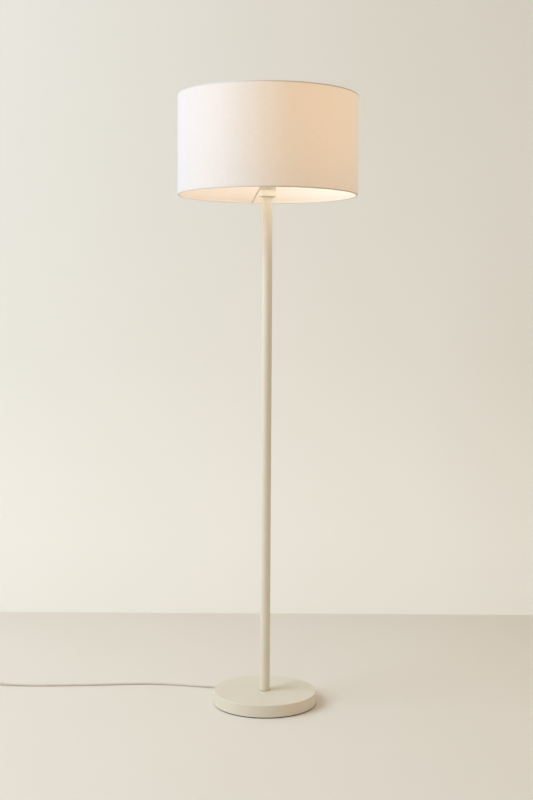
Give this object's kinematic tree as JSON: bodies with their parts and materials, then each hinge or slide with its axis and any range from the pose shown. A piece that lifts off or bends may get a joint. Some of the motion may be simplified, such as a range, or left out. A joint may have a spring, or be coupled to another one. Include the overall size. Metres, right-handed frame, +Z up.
{
  "type": "floor lamp",
  "caption": "Floor lamp with a round weighted base, a slim straight pole screwed together from tubes, a wide drum shade and a cord with foot switch and plug.",
  "frame": {"origin": "on the floor, under the axis of the pole", "axes": "+Z up along the pole, -Y towards the front, +X to the right seen from the front; the cord leaves to the back left"},
  "size_m": [1.143, 0.446, 1.522],
  "materials": {
    "cream_coat": "fine-textured cream powder coat",
    "ballast": "cast ballast, matt and slightly porous",
    "pad_foam": "dark non-slip foam",
    "foot_ring": "thin dark ring under the pole",
    "zinc_steel": "zinc plated",
    "spring_steel": "spring wire",
    "cord_sheath": "cream soft cord sheath",
    "neutral_insulation": "blue core insulation",
    "live_insulation": "brown core insulation",
    "holder_plastic": "white heat-resistant moulding",
    "holder_ceramic": "unglazed steatite",
    "brass": "bright",
    "shade_cloth": "white fine plain weave",
    "shade_lining": "white translucent film",
    "white_wire": "white coated steel wire",
    "cap_glass": "black insulator",
    "bulb_cap_metal": "nickel plated",
    "bulb_white": "white moulding",
    "led_board": "white solder mask",
    "bulb_opal": "opal diffuser",
    "switch_plastic": "cream moulding",
    "button_plastic": "cream moulding",
    "plug_plastic": "cream moulding",
    "pin_metal": "nickel-plated brass",
    "sleeve_plastic": "dark insulating sleeve"
  },
  "bodies": {
    "lamp": {"base_cover": "cream_coat", "base_ballast": "ballast", "base_pad": "pad_foam", "base_washer": "zinc_steel", "lock_washer": "zinc_steel", "base_nut": "zinc_steel", "base_screw": "zinc_steel", "cord_boot": "cord_sheath", "pole_foot_ring": "foot_ring", "pole_tube_1": "cream_coat", "pole_tube_2": "cream_coat", "pole_tube_3": "cream_coat", "pole_tube_4": "cream_coat", "tube_inserts": "zinc_steel", "pole_joint_screws": "zinc_steel", "inner_cable": "cord_sheath", "neutral_core": "neutral_insulation", "live_core": "live_insulation", "holder_cup": "cream_coat", "holder_screw": "zinc_steel", "holder_cap": "holder_plastic", "holder_insulator": "holder_ceramic", "screw_shell": "brass", "holder_skirt": "holder_plastic", "centre_contact": "brass", "holder_terminals": "brass", "terminal_screws": "zinc_steel", "mains_lead": "cord_sheath", "cord_coil": "cord_sheath", "switch_base": "switch_plastic", "switch_cover": "switch_plastic", "switch_spring": "spring_steel", "switch_terminals": "brass", "switch_screws": "zinc_steel", "plug_body": "plug_plastic", "plug_pins": "pin_metal", "pin_sleeves": "sleeve_plastic"},
    "shade": {"shade_fabric": "shade_cloth", "shade_liner": "shade_lining", "shade_bottom_ring": "white_wire", "shade_top_ring": "white_wire", "spider_arms": "white_wire", "spider_fitter": "white_wire"},
    "shade_nut": {"shade_nut": "holder_plastic"},
    "bulb": {"bulb_tip": "brass", "bulb_insulator": "cap_glass", "bulb_cap": "bulb_cap_metal", "bulb_housing": "bulb_white", "led_board": "led_board", "bulb_globe": "bulb_opal"},
    "foot_button": {"foot_button": "button_plastic"}
  },
  "joints": [
    {"name": "shade_turn", "type": "hinge", "parent": "lamp", "child": "shade", "pos_m": [0, 0, 1.3255], "axis": [0, 0, 1], "continuous": true},
    {"name": "shade_nut_turn", "type": "hinge", "parent": "lamp", "child": "shade_nut", "pos_m": [0, 0, 1.327], "axis": [0, 0, 1], "continuous": true},
    {"name": "bulb_turn", "type": "hinge", "parent": "lamp", "child": "bulb", "pos_m": [0, 0, 1.312], "axis": [0, 0, 1], "continuous": true},
    {"name": "button_press", "type": "slide", "parent": "lamp", "child": "foot_button", "axis": [0, 0, -1], "range_m": [0, 0.0025], "stiffness_N_per_m": 1200, "springref_m": -0.004, "deforming": ["switch_spring"]}
  ]
}
